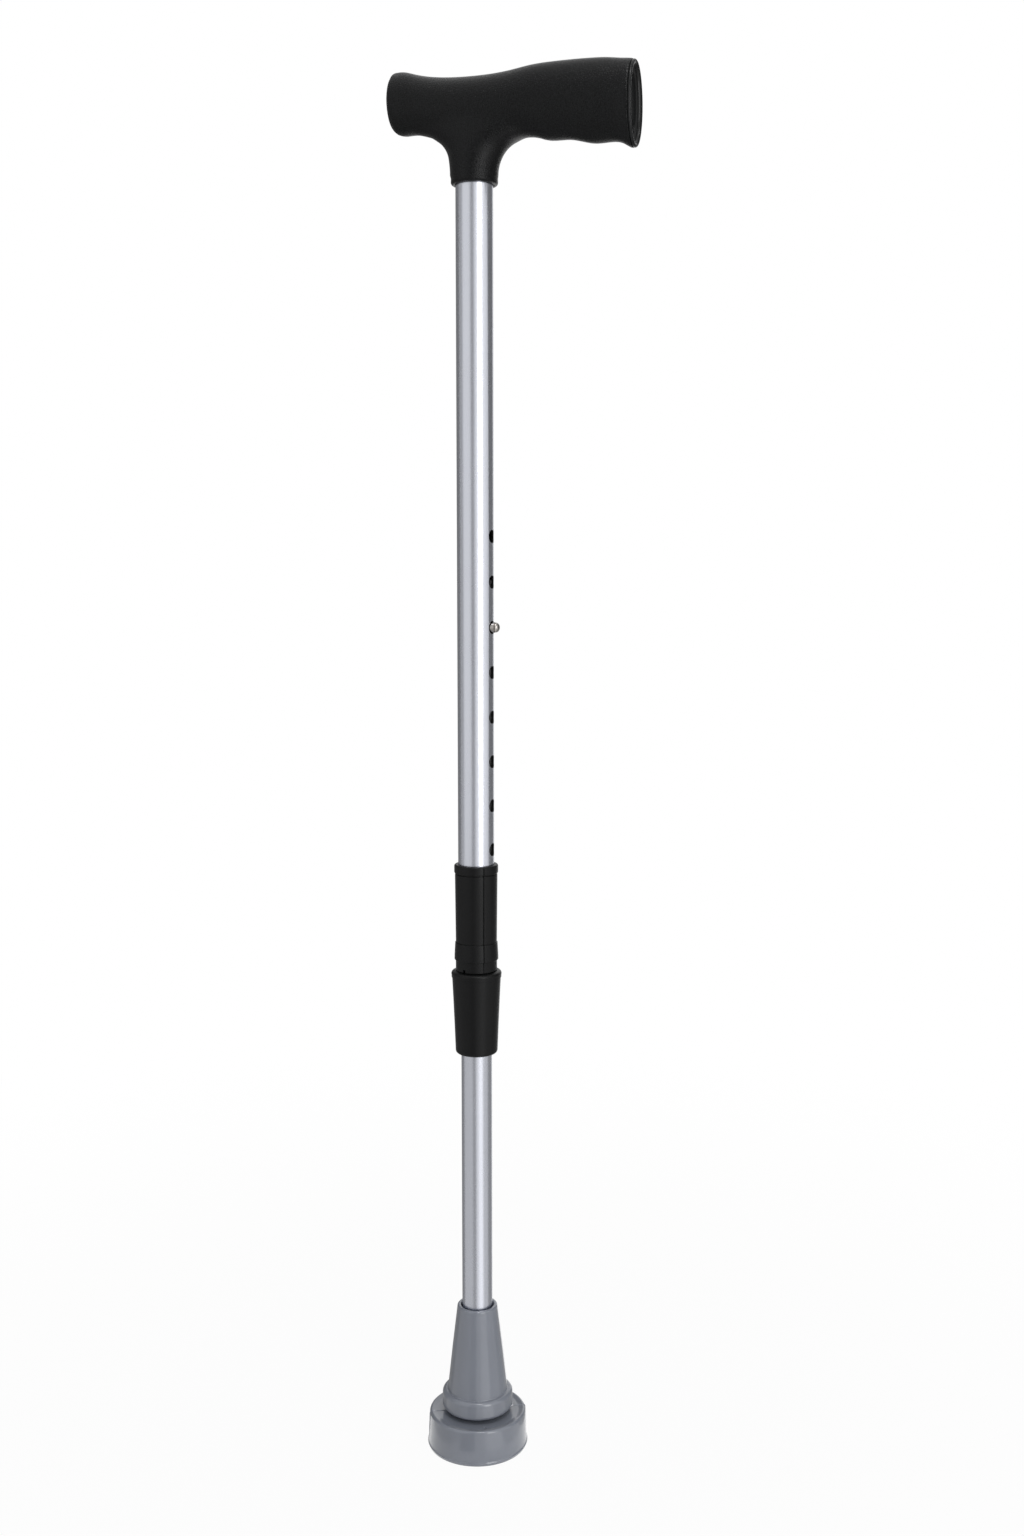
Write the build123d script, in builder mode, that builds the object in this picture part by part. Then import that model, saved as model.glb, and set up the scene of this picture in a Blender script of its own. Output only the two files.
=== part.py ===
from build123d import *
import os
from math import cos, radians, sin, sqrt

# Height-adjustable walking cane, in millimetres.
# Origin: centre of the sole, on the shaft's axis. +Z runs up the shaft and +X towards the
# long, palm end of the handle. The snap button and its row of holes face +X.

os.makedirs("parts", exist_ok=True)

# ---- fits ----
running = 0.08  # radial clearance of a sliding or turning fit
clear = 0.3  # gap between faces that only come near each other
tiny = 0.01  # reach to either side when an edge is looked up by its height

# ---- tubes ----
upper_od = 22.0
tube_wall = 1.2
tube_gap = 0.3  # between the lower tube and the upper tube's bore
upper_length = 482.0
lower_length = 495.0
upper_r = upper_od / 2
upper_bore_r = upper_r - tube_wall
lower_r = upper_bore_r - tube_gap
lower_bore_r = lower_r - tube_wall
slide_r = lower_r + running  # bore that guides the lower tube

# ---- foot disc ----
foot_height = 22.5
foot_sole_r = 31.4
foot_lip_r = 31.8
foot_lip_height = 2.2
foot_top_r = 30.4
foot_top_fillet = 3.0
foot_dish = 0.8  # fall of the top face towards the shaft
tread_groove = 2.0
tread_depth = 1.5
tread_radii = (14.0, 19.5, 25.0)

# ---- ball stud and cup ----
ball_r = 7.5
ball_height = 10.5  # ball centre above the foot's rim
stud_neck_r = 4.0
stud_plate_r = 13.0
stud_plate = 2.5
stud_plate_level = 7.0
cup_wall = 3.2
cup_lip = 4.6  # how far the cup reaches below the ball's centre
cup_crown = 3.0
cup_edge = 1.0

# ---- rubber boot ----
foot_gap = 1.9  # between the foot's rim and the flange
boot_height = 67.6
flange_step = 3.3
flange_height = 11.8
flange_fillet = 2.4
cone_flare = 6.3  # how much wider the cone is at its foot
boot_wall = 3.1  # round the tube at the cone's top
boot_edge = 1.2
boot_floor = 4.2  # rubber between the ball cup and the washer
boot_mouth = 0.9  # radial ease round the tube at the mouth
boot_mouth_depth = 4.0
washer = 2.0
washer_edge = 0.4

# ---- snap button ----
button_below_end = 26.0  # from the lower tube's top end
button_r = 3.15
button_stand = 4.4  # above the upper tube's surface
button_dome = 2.4
button_flange_r = 3.8
button_flange = 1.2
rivet_r = 1.6
rivet_head_r = 2.6
rivet_head = 0.8
spring_strip = 0.8
spring_width = 8.0
spring_leg = 40.0

# ---- adjustment holes ----
hole_count = 8
hole_pitch = 26.95
hole_ease = 0.65  # radial room round the button
hole_rim = 0.4  # bright chamfer round each hole
rest_hole = 3  # counted from the top
lowest_hole_from_end = 51.4

# ---- guide ring on the lower tube ----
guide_flange = 2.5
guide_spigot = 9.0
guide_wall = 1.6
guide_edge = 0.8

# ---- locking sleeve ----
sleeve_grip = 42.0  # length of upper tube inside the sleeve
sleeve_band_wall = 2.45
sleeve_band = 5.2
sleeve_groove = 1.0
sleeve_groove_depth = 0.6
sleeve_top_wall = 2.1
sleeve_waist_wall = 1.6
sleeve_waist_drop = 6.5  # waist below the tube's seat
skirt_wall = 2.6
skirt = 10.9
neck_wall = 3.12
neck = 6.6
finger_wall = 2.72
thread_length = 19.0
sleeve_edge = 1.0
skirt_edge = 0.7
finger_edge = 1.2
finger_count = 3
finger_slot = 1.6
finger_first = -105.0  # direction of the first slot, degrees
slot_top = 4.6  # slots end this far below the skirt

# ---- lock nut ----
nut_length = 52.4
nut_bead_wall = 3.12
nut_bead = 3.8
nut_bead_fillet = 1.7
nut_shoulder_wall = 2.62
nut_foot_wall = 0.52
nut_foot_fillet = 2.2
nut_mouth_ease = 0.8
ring_height = 10.4
ring_edge = 0.6

# ---- handle ----
socket_depth = 40.4
stem_wall = 3.1
stem_edge = 1.6
plug_length = 24.0
plug_head = 2.0
plug_groove_depth = 0.5
plug_groove = 1.5
plug_grooves = 3
cap_scale = 0.80
cap_thick = 2.6
cap_recess = 1.6
cap_wall = 1.6
cap_spigot = 5.0
core_length = 58.0
core_scale = 0.58
saddle_half = 13.8  # half width of the grip over the stem
stem_r = upper_r + stem_wall

# Grip: distance along X, top height, underside height and half width of each oval section.
# Heights count from the lower edge of the stem.
grip_sections = (
    (-51.0, 62.0, 38.0, 9.0),
    (-49.4, 65.8, 33.6, 11.6),
    (-45.5, 67.0, 31.6, 13.0),
    (-36.0, 65.0, 31.2, 13.4),
    (-24.0, 62.3, 29.0, 13.6),
    (-8.0, 60.8, 26.0, saddle_half),
    (10.0, 60.6, 24.6, saddle_half),
    (24.0, 61.7, 23.7, 13.5),
    (36.0, 63.3, 23.8, 13.2),
    (46.5, 63.8, 21.2, 13.0),
    (58.5, 63.8, 20.6, 12.9),
    (73.0, 63.4, 17.3, 12.9),
    (81.5, 62.7, 17.3, 12.9),
    (90.0, 61.5, 15.8, 13.1),
    (95.8, 60.5, 13.0, 13.5),
    (97.2, 59.8, 13.4, 13.2),
)

# Stem: height, centre along X, half length and half width of each oval section.
stem_sections = (
    (0.0, 0.0, stem_r, stem_r),
    (8.0, 0.0, stem_r, stem_r),
    (14.0, 0.2, stem_r + 1.0, stem_r),
    (19.2, 1.4, 17.2, stem_r - 0.1),
    (24.4, 4.2, 24.2, stem_r - 0.4),
    (30.0, 4.4, 32.0, stem_r - 0.8),
    (42.0, 2.0, 36.0, saddle_half - 1.0),
)

# ---- levels that follow from the sizes above ----
ball_level = foot_height + ball_height
flange_level = foot_height + foot_gap
boot_top = flange_level + boot_height
cup_bottom = ball_level - cup_lip
cup_top = ball_level + ball_r + clear + cup_crown
washer_bottom = cup_top + boot_floor
lower_bottom = washer_bottom + washer
lower_top = lower_bottom + lower_length
button_level = lower_top - button_below_end
hole_levels = [button_level + (rest_hole - number - 1) * hole_pitch for number in range(hole_count)]
upper_bottom = hole_levels[-1] - lowest_hole_from_end
upper_top = upper_bottom + upper_length
sleeve_top = upper_bottom + sleeve_grip
waist_level = upper_bottom - sleeve_waist_drop
skirt_level = waist_level - skirt
neck_level = skirt_level - neck
finger_level = neck_level - thread_length
nut_top = neck_level - clear
nut_bottom = nut_top - nut_length
ring_top = finger_level - clear
ring_bottom = ring_top - ring_height
stem_level = upper_top - socket_depth

# ---- radii that follow from the sizes above ----
cone_top_r = lower_r + boot_wall
cone_low_r = cone_top_r + cone_flare
flange_r = cone_low_r + flange_step
sleeve_band_r = upper_r + sleeve_band_wall
sleeve_top_r = upper_r + sleeve_top_wall
sleeve_waist_r = upper_r + sleeve_waist_wall
skirt_r = upper_r + skirt_wall
neck_r = slide_r + neck_wall
thread_r = slide_r + finger_wall
nut_bore_r = thread_r + running
ring_r = nut_bore_r - clear


def rings_at(body, level):
    """Circular edges of a turned piece that lie at one height, smallest first."""
    circles = body.edges().filter_by(GeomType.CIRCLE)
    return circles.filter_by_position(Axis.Z, level - tiny, level + tiny).sort_by(SortBy.RADIUS)


def save(body, name):
    """Label a finished piece and write its STEP file."""
    body.part.label = name
    export_step(body.part, f"parts/{name}.step")


# ---- ball stud: steel, moulded into the foot disc ----
with BuildPart() as ball_stud:
    with BuildSketch(Plane.XY.offset(stud_plate_level)):
        Circle(stud_plate_r)
    extrude(amount=stud_plate)
    with BuildSketch(Plane.XY.offset(stud_plate_level + stud_plate)):
        Circle(stud_neck_r)
    extrude(amount=ball_level - stud_plate_level - stud_plate)
    with Locations((0, 0, ball_level)):
        Sphere(ball_r)
save(ball_stud, "ball_stud")

# ---- foot disc: grey rubber, ring tread under the sole, dished top ----
with BuildPart() as tip_base:
    with BuildSketch(Plane.XZ):
        with BuildLine():
            Polyline(
                (0, 0),
                (foot_sole_r, 0),
                (foot_lip_r, foot_lip_height / 2),
                (foot_lip_r, foot_lip_height),
                (foot_top_r, foot_height),
                (flange_r, foot_height - foot_dish),
                (0, foot_height - foot_dish),
                (0, 0),
            )
        make_face()
    revolve(axis=Axis.Z)
    fillet(rings_at(tip_base, foot_height)[-1], foot_top_fillet)
    for tread_r in tread_radii:
        with BuildSketch(Plane.XY):
            Circle(tread_r + tread_groove / 2)
            Circle(tread_r - tread_groove / 2, mode=Mode.SUBTRACT)
        extrude(amount=tread_depth, mode=Mode.SUBTRACT)
    add(ball_stud.part, mode=Mode.SUBTRACT)
save(tip_base, "tip_base")

# ---- ball cup: nylon socket pressed into the boot from below ----
cup_r = ball_r + clear + cup_wall
with BuildPart() as ball_cup:
    with BuildSketch(Plane.XY.offset(cup_bottom)):
        Circle(cup_r)
    extrude(amount=cup_top - cup_bottom)
    with Locations((0, 0, ball_level)):
        Sphere(ball_r + clear, mode=Mode.SUBTRACT)
    chamfer(rings_at(ball_cup, cup_top)[-1], cup_edge)
save(ball_cup, "ball_cup")

# ---- boot: grey rubber cone with a flange ring, stretched over the lower tube ----
with BuildPart() as tip_boot:
    with BuildSketch(Plane.XZ):
        with BuildLine():
            Polyline(
                (0, flange_level),
                (flange_r, flange_level),
                (flange_r, flange_level + flange_height),
                (cone_low_r, flange_level + flange_height),
                (cone_top_r, boot_top),
                (0, boot_top),
                (0, flange_level),
            )
        make_face()
    revolve(axis=Axis.Z)
    fillet(rings_at(tip_boot, flange_level + flange_height)[-1], flange_fillet)
    fillet(rings_at(tip_boot, flange_level)[-1], flange_fillet)
    fillet(rings_at(tip_boot, boot_top)[-1], boot_edge)
    with BuildSketch(Plane.XY.offset(washer_bottom)):
        Circle(lower_r)
    extrude(amount=boot_top - washer_bottom, mode=Mode.SUBTRACT)
    with BuildSketch(Plane.XY.offset(boot_top - boot_mouth_depth)):
        Circle(lower_r)
    with BuildSketch(Plane.XY.offset(boot_top)):
        Circle(lower_r + boot_mouth)
    loft(mode=Mode.SUBTRACT)
    with BuildSketch(Plane.XY.offset(flange_level)):
        Circle(cup_r)
    extrude(amount=cup_bottom - flange_level, mode=Mode.SUBTRACT)
    add(ball_cup.part, mode=Mode.SUBTRACT)
    with Locations((0, 0, ball_level)):
        Sphere(ball_r + clear, mode=Mode.SUBTRACT)
save(tip_boot, "tip_boot")

# ---- washer: steel disc between the tube's end and the rubber ----
with BuildPart() as tube_washer:
    with BuildSketch(Plane.XY.offset(washer_bottom)):
        Circle(lower_r)
    extrude(amount=washer)
    chamfer(rings_at(tube_washer, washer_bottom)[-1], washer_edge)
save(tube_washer, "tube_washer")

# ---- lower tube: drawn aluminium with one hole for the button ----
with BuildPart() as lower_tube:
    with BuildSketch(Plane.XY.offset(lower_bottom)):
        Circle(lower_r)
        Circle(lower_bore_r, mode=Mode.SUBTRACT)
    extrude(amount=lower_length)
    with BuildSketch(Plane.YZ):
        with Locations((0, button_level)):
            Circle(button_r + running)
    extrude(amount=upper_r, mode=Mode.SUBTRACT)
save(lower_tube, "lower_tube")

# ---- guide ring: nylon cap on the lower tube's end, it stops the tubes rattling ----
with BuildPart() as guide_ring:
    with BuildSketch(Plane.XY.offset(lower_top)):
        Circle(upper_bore_r - running)
    extrude(amount=guide_flange)
    fillet(rings_at(guide_ring, lower_top + guide_flange)[-1], guide_edge)
    with BuildSketch(Plane.XY.offset(lower_top - guide_spigot)):
        Circle(lower_bore_r)
    extrude(amount=guide_spigot)
    with BuildSketch(Plane.XY.offset(lower_top - guide_spigot)):
        Circle(lower_bore_r - guide_wall)
    extrude(amount=guide_spigot + guide_flange, mode=Mode.SUBTRACT)
save(guide_ring, "guide_ring")

# ---- snap button: domed steel stud riveted to the spring strip ----
strip_x = sqrt(lower_bore_r**2 - button_flange_r**2) - running - button_flange  # strip's outer face
button_tip = upper_r + button_stand
with BuildPart() as snap_button:
    with BuildSketch(Plane.XZ):
        with BuildLine():
            Polyline(
                (button_tip - button_dome, button_level + button_r),
                (strip_x + button_flange, button_level + button_r),
                (strip_x + button_flange, button_level + button_flange_r),
                (strip_x + running, button_level + button_flange_r),
                (strip_x + running, button_level + rivet_r),
                (strip_x - spring_strip - running, button_level + rivet_r),
                (strip_x - spring_strip - running, button_level + rivet_head_r),
                (strip_x - spring_strip - rivet_head, button_level + rivet_r),
                (strip_x - spring_strip - rivet_head, button_level),
                (button_tip, button_level),
            )
            EllipticalCenterArc(
                (button_tip - button_dome, button_level),
                button_dome,
                button_r,
                start_angle=0,
                arc_size=90,
            )
        make_face()
    revolve(axis=Axis((0, 0, button_level), (1, 0, 0)))
save(snap_button, "snap_button")

# ---- button spring: strip bent into a U, one leg carries the button, the other bears on the bore ----
front_leg_x = strip_x - spring_strip / 2
back_leg_x = spring_strip / 2 - sqrt(lower_bore_r**2 - (spring_width / 2) ** 2)
bend_level = button_level - spring_leg
with BuildPart() as button_spring:
    with BuildSketch(Plane.XZ):
        with BuildLine():
            front = Line((front_leg_x, button_level + 2 * rivet_head_r), (front_leg_x, bend_level))
            bend = ThreePointArc(
                front @ 1,
                ((front_leg_x + back_leg_x) / 2, bend_level - (front_leg_x - back_leg_x) / 2),
                (back_leg_x, bend_level),
            )
            Line(bend @ 1, (back_leg_x, button_level))
        trace(line_width=spring_strip)
    extrude(amount=spring_width / 2, both=True)
    with BuildSketch(Plane.YZ):
        with Locations((0, button_level)):
            Circle(rivet_r + running)
    extrude(amount=upper_r, mode=Mode.SUBTRACT)
save(button_spring, "button_spring")

# ---- upper tube: drawn aluminium with a row of deburred holes ----
hole_r = button_r + hole_ease
with BuildPart() as upper_tube:
    with BuildSketch(Plane.XY.offset(upper_bottom)):
        Circle(upper_r)
        Circle(upper_bore_r, mode=Mode.SUBTRACT)
    extrude(amount=upper_length)
    with BuildSketch(Plane.YZ):
        for level in hole_levels:
            with Locations((0, level)):
                Circle(hole_r)
    extrude(amount=upper_od, mode=Mode.SUBTRACT)
    outer_skin = upper_tube.faces().sort_by(SortBy.AREA)[-1]
    hole_edges = outer_skin.edges().filter_by(GeomType.CIRCLE, reverse=True)
    chamfer(hole_edges.filter_by(GeomType.LINE, reverse=True), hole_rim)
save(upper_tube, "upper_tube")

# ---- locking sleeve: black plastic, pushed on the upper tube, with slotted fingers below ----
band_bottom = sleeve_top - sleeve_band
with BuildPart() as locking_sleeve:
    with BuildSketch(Plane.XZ):
        with BuildLine():
            Polyline(
                (slide_r, finger_level),
                (thread_r, finger_level),
                (thread_r, neck_level),
                (neck_r, neck_level),
                (neck_r, skirt_level),
                (skirt_r, skirt_level),
                (sleeve_waist_r, waist_level),
                (sleeve_top_r, band_bottom - sleeve_groove),
                (sleeve_top_r - sleeve_groove_depth, band_bottom - sleeve_groove),
                (sleeve_top_r - sleeve_groove_depth, band_bottom),
                (sleeve_band_r, band_bottom),
                (sleeve_band_r, sleeve_top),
                (upper_r, sleeve_top),
                (upper_r, upper_bottom),
                (slide_r, upper_bottom),
                (slide_r, finger_level),
            )
        make_face()
    revolve(axis=Axis.Z)
    fillet(rings_at(locking_sleeve, sleeve_top)[-1], sleeve_edge)
    fillet(rings_at(locking_sleeve, skirt_level)[-1], skirt_edge)
    chamfer(rings_at(locking_sleeve, finger_level)[-1], finger_edge)
    for number in range(finger_count):
        angle = radians(finger_first + number * 360 / finger_count)
        outward = (cos(angle), sin(angle), 0)
        with BuildSketch(Plane(origin=(0, 0, 0), x_dir=(-sin(angle), cos(angle), 0), z_dir=outward)):
            with Locations((0, (finger_level + skirt_level - slot_top) / 2)):
                Rectangle(finger_slot, skirt_level - slot_top - finger_level)
        extrude(amount=sleeve_band_r, mode=Mode.SUBTRACT)
save(locking_sleeve, "locking_sleeve")

# ---- clamp ring: split nylon ring that the nut drives against the fingers ----
with BuildPart() as clamp_ring:
    with BuildSketch(Plane.XY.offset(ring_bottom)):
        Circle(ring_r)
        Circle(slide_r, mode=Mode.SUBTRACT)
    extrude(amount=ring_height)
    chamfer(rings_at(clamp_ring, ring_top)[-1], ring_edge)
    with BuildSketch(Plane.XY.offset(ring_bottom)):
        with Locations((-ring_r, 0)):
            Rectangle(ring_r, finger_slot)
    extrude(amount=ring_height, mode=Mode.SUBTRACT)
save(clamp_ring, "clamp_ring")

# ---- lock nut: tapered black plastic nut, screwed up over the fingers ----
bead_level = nut_top - nut_bead
with BuildPart() as lock_nut:
    with BuildSketch(Plane.XZ):
        with BuildLine():
            Polyline(
                (lower_r + nut_mouth_ease, nut_bottom),
                (nut_bore_r + nut_foot_wall, nut_bottom),
                (nut_bore_r + nut_shoulder_wall, bead_level),
                (nut_bore_r + nut_bead_wall, bead_level),
                (nut_bore_r + nut_bead_wall, nut_top),
                (nut_bore_r, nut_top),
                (nut_bore_r, ring_bottom - clear),
                (lower_r + nut_mouth_ease, ring_bottom - clear),
                (lower_r + nut_mouth_ease, nut_bottom),
            )
        make_face()
    revolve(axis=Axis.Z)
    fillet(rings_at(lock_nut, nut_top)[-1], nut_bead_fillet)
    fillet(rings_at(lock_nut, nut_bottom)[-1], nut_foot_fillet)
save(lock_nut, "lock_nut")

# ---- tube plug: ribbed nylon plug in the upper tube's top end ----
with BuildPart() as tube_plug:
    with BuildSketch(Plane.XY.offset(upper_top)):
        Circle(upper_r)
    extrude(amount=plug_head)
    with BuildSketch(Plane.XY.offset(upper_top - plug_length)):
        Circle(upper_bore_r)
    extrude(amount=plug_length)
    for share in range(1, plug_grooves + 1):
        with BuildSketch(Plane.XY.offset(upper_top - share * plug_length / (plug_grooves + 1))):
            Circle(upper_bore_r)
            Circle(upper_bore_r - plug_groove_depth, mode=Mode.SUBTRACT)
        extrude(amount=plug_groove, mode=Mode.SUBTRACT)
save(tube_plug, "tube_plug")

# ---- handle: one black moulding, grip and stem, with a socket for the tube ----
palm_x, palm_top, palm_low, palm_half = grip_sections[-1]
palm_centre = stem_level + (palm_top + palm_low) / 2
palm_half_height = (palm_top - palm_low) / 2
core_centre = stem_level + (grip_sections[-6][1] + grip_sections[-6][2]) / 2
core_half = palm_half * core_scale
core_half_height = palm_half_height * core_scale
with BuildPart() as handle_grip:
    for along, top, low, half in grip_sections:
        with BuildSketch(Plane.YZ.offset(along)):
            with Locations((0, stem_level + (top + low) / 2)):
                Ellipse(half, (top - low) / 2)
    loft()
    for level, centre, half_length, half in stem_sections:
        with BuildSketch(Plane.XY.offset(stem_level + level)):
            with Locations((centre, 0)):
                Ellipse(half_length, half)
    loft()
    with BuildSketch(Plane.XY.offset(stem_level)):
        Circle(upper_r)
    extrude(amount=socket_depth + plug_head, mode=Mode.SUBTRACT)
    fillet(handle_grip.faces().sort_by(Axis.Z)[0].outer_wire().edges(), stem_edge)
    with BuildSketch(Plane.YZ.offset(palm_x)):
        with Locations((0, palm_centre)):
            Ellipse(palm_half * cap_scale, palm_half_height * cap_scale)
    extrude(amount=-(cap_recess + cap_thick), mode=Mode.SUBTRACT)
    with BuildSketch(Plane.YZ.offset(palm_x - cap_recess - cap_thick)):
        with Locations((0, core_centre)):
            Ellipse(core_half, core_half_height)
    extrude(amount=-core_length, mode=Mode.SUBTRACT)
save(handle_grip, "handle_grip")

# ---- end cap: smooth black oval let into the palm end ----
with BuildPart() as handle_end_cap:
    with BuildSketch(Plane.YZ.offset(palm_x - cap_recess)):
        with Locations((0, palm_centre)):
            Ellipse(palm_half * cap_scale, palm_half_height * cap_scale)
    extrude(amount=-cap_thick)
    with BuildSketch(Plane.YZ.offset(palm_x - cap_recess - cap_thick)):
        with Locations((0, core_centre)):
            Ellipse(core_half, core_half_height)
            Ellipse(core_half - cap_wall, core_half_height - cap_wall, mode=Mode.SUBTRACT)
    extrude(amount=-cap_spigot)
save(handle_end_cap, "handle_end_cap")
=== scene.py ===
import math

import bmesh
import bpy
from mathutils import Matrix, Vector


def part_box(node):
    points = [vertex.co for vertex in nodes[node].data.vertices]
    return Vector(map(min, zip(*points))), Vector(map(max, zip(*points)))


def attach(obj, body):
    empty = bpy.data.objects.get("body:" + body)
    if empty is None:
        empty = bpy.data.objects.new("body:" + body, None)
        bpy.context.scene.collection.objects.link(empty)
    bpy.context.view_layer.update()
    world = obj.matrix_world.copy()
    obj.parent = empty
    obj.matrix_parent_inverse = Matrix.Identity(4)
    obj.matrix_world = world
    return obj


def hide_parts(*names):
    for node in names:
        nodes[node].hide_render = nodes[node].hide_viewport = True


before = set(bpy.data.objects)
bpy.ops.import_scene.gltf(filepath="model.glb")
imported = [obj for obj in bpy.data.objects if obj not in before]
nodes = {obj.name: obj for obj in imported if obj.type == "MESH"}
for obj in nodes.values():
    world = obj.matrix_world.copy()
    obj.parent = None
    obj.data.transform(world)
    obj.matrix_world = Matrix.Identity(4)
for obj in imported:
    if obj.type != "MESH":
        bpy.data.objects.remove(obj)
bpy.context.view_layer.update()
scene = bpy.context.scene
scene.view_settings.view_transform = "Standard"
MM = 0.001

# ---- studio: camera ----
# The camera stands a metre from the cane, just above half its height and a little to the
# right of its front, and looks slightly down.
view_azimuth = math.radians(20.0)
camera_pitch = math.radians(7.2)
camera_distance = 0.967
camera_side = 0.0219
camera_height = 0.556
camera_lens = 37.64
to_camera = Vector((math.sin(view_azimuth), -math.cos(view_azimuth), 0))
to_right = Vector((math.cos(view_azimuth), math.sin(view_azimuth), 0))
camera_data = bpy.data.cameras.new("camera")
camera_data.lens = camera_lens
camera = bpy.data.objects.new("camera", camera_data)
camera.location = to_camera * camera_distance + to_right * camera_side + Vector((0, 0, camera_height))
camera.rotation_euler = (math.pi / 2 - camera_pitch, 0, view_azimuth)
scene.collection.objects.link(camera)
scene.camera = camera


# ---- studio: floor, world, lamps and cards ----
# A wide pale floor under an even white surround. A tall softbox lights the front right and a
# small one hangs overhead. Cards of even grey, seen only in reflections, give the tubes their bands.
def add_node(tree, kind, inputs, **settings):
    """A new node with its settings made and its inputs linked or set."""
    node = tree.nodes.new(kind)
    for setting, value in settings.items():
        setattr(node, setting, value)
    for socket, value in inputs.items():
        if isinstance(value, bpy.types.NodeSocket):
            tree.links.new(value, node.inputs[socket])
        else:
            node.inputs[socket].default_value = value
    return node


def new_object(name, bm, sharp=35.0):
    """A finished bmesh as an object at the origin, smooth but for its sharp edges."""
    mesh = bpy.data.meshes.new(name)
    bm.to_mesh(mesh)
    bm.free()
    mesh.shade_smooth()
    mesh.set_sharp_from_angle(angle=math.radians(sharp))
    piece = bpy.data.objects.new(name, mesh)
    scene.collection.objects.link(piece)
    return piece


def background_rays(tree):
    """One where a ray comes from the camera, a mirror or glass, and zero elsewhere."""
    path = add_node(tree, "ShaderNodeLightPath", {})
    seen = add_node(
        tree,
        "ShaderNodeMath",
        {0: path.outputs["Is Camera Ray"], 1: path.outputs["Is Glossy Ray"]},
        operation="MAXIMUM",
    )
    return add_node(
        tree,
        "ShaderNodeMath",
        {0: seen.outputs[0], 1: path.outputs["Is Transmission Ray"]},
        operation="MAXIMUM",
    ).outputs[0]


def facing_axis(azimuth, distance, height, aim):
    """Place and turn of something that stands round the cane at an angle to the right of the camera."""
    angle = math.radians(azimuth)
    outward = to_camera * math.cos(angle) + to_right * math.sin(angle)
    place = outward * distance + Vector((0, 0, height))
    turn = (place - Vector((0, 0, aim))).to_track_quat("Z", "Y").to_matrix().to_4x4()
    return Matrix.Translation(place) @ turn


def softbox(name, azimuth, distance, height, aim, width, tall, power):
    """A rectangular lamp that faces the cane and aims at a height on it."""
    lamp = bpy.data.lights.new(name, "AREA")
    lamp.shape = "RECTANGLE"
    lamp.size = width
    lamp.size_y = tall
    lamp.energy = power
    holder = bpy.data.objects.new(name, lamp)
    holder.matrix_world = facing_axis(azimuth, distance, height, aim)
    scene.collection.objects.link(holder)


def card(name, azimuth, spread, level, lying=False):
    """A card of an even grey that only reflections see: a tall one, or one lying on the floor."""
    near, far, tall = 0.05, 1.6, 3.4
    middle = 0.6
    lift = 0.3 * MM
    slope = 2 * math.tan(math.radians(spread) / 2)
    bm = bmesh.new()
    bmesh.ops.create_grid(bm, x_segments=1, y_segments=1, size=0.5)
    if lying:
        for vert in bm.verts:
            vert.co.x = far if vert.co.x > 0 else near
            vert.co.y *= slope * vert.co.x
        turn = Matrix.Rotation(math.radians(azimuth) + math.atan2(to_camera.y, to_camera.x), 4, "Z")
        bmesh.ops.transform(bm, matrix=Matrix.Translation((0, 0, lift)) @ turn, verts=bm.verts)
    else:
        bmesh.ops.scale(bm, vec=(far * slope, tall, 1), verts=bm.verts)
        bmesh.ops.transform(bm, matrix=facing_axis(azimuth, far, middle, middle), verts=bm.verts)
    sheet = new_object(name, bm)
    sheet.visible_camera = False
    sheet.visible_diffuse = False
    sheet.visible_shadow = False
    sheet.visible_transmission = False
    paint = bpy.data.materials.new(name)
    paint.use_nodes = True
    tree = paint.node_tree
    tree.nodes.clear()
    glow = add_node(tree, "ShaderNodeEmission", {"Color": (1, 1, 1, 1), "Strength": level})
    add_node(tree, "ShaderNodeOutputMaterial", {"Surface": glow.outputs[0]})
    sheet.data.materials.append(paint)


floor_size = 60.0
floor_grey = (0.84, 0.84, 0.84, 1)
room_light = 0.42
shadow_share = 0.95
bm = bmesh.new()
bmesh.ops.create_grid(bm, x_segments=2, y_segments=2, size=floor_size / 2)
floor = new_object("floor", bm)
floor_paint = bpy.data.materials.new("floor_paint")
floor_paint.use_nodes = True
tree = floor_paint.node_tree
tree.nodes.clear()
spot = add_node(tree, "ShaderNodeTexCoord", {})
reach = add_node(tree, "ShaderNodeVectorMath", {0: spot.outputs["Object"]}, operation="LENGTH")
plain = add_node(
    tree,
    "ShaderNodeMapRange",
    {"Value": reach.outputs["Value"], "From Min": 0.1, "From Max": 0.9, "To Min": shadow_share},
    interpolation_type="SMOOTHSTEP",
)
share = add_node(
    tree, "ShaderNodeMath", {0: plain.outputs[0], 1: background_rays(tree)}, operation="MULTIPLY"
)
matt = add_node(tree, "ShaderNodeBsdfDiffuse", {"Color": floor_grey})
white = add_node(tree, "ShaderNodeEmission", {"Color": (1, 1, 1, 1), "Strength": 1.0})
mixed = add_node(
    tree, "ShaderNodeMixShader", {0: share.outputs[0], 1: matt.outputs[0], 2: white.outputs[0]}
)
add_node(tree, "ShaderNodeOutputMaterial", {"Surface": mixed.outputs[0]})
floor.data.materials.append(floor_paint)

world = bpy.data.worlds.new("surround")
scene.world = world
world.use_nodes = True
tree = world.node_tree
tree.nodes.clear()
strength = add_node(tree, "ShaderNodeMapRange", {"Value": background_rays(tree), "To Min": room_light})
sky = add_node(tree, "ShaderNodeBackground", {"Color": (1, 1, 1, 1), "Strength": strength.outputs[0]})
add_node(tree, "ShaderNodeOutputWorld", {"Surface": sky.outputs[0]})

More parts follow.
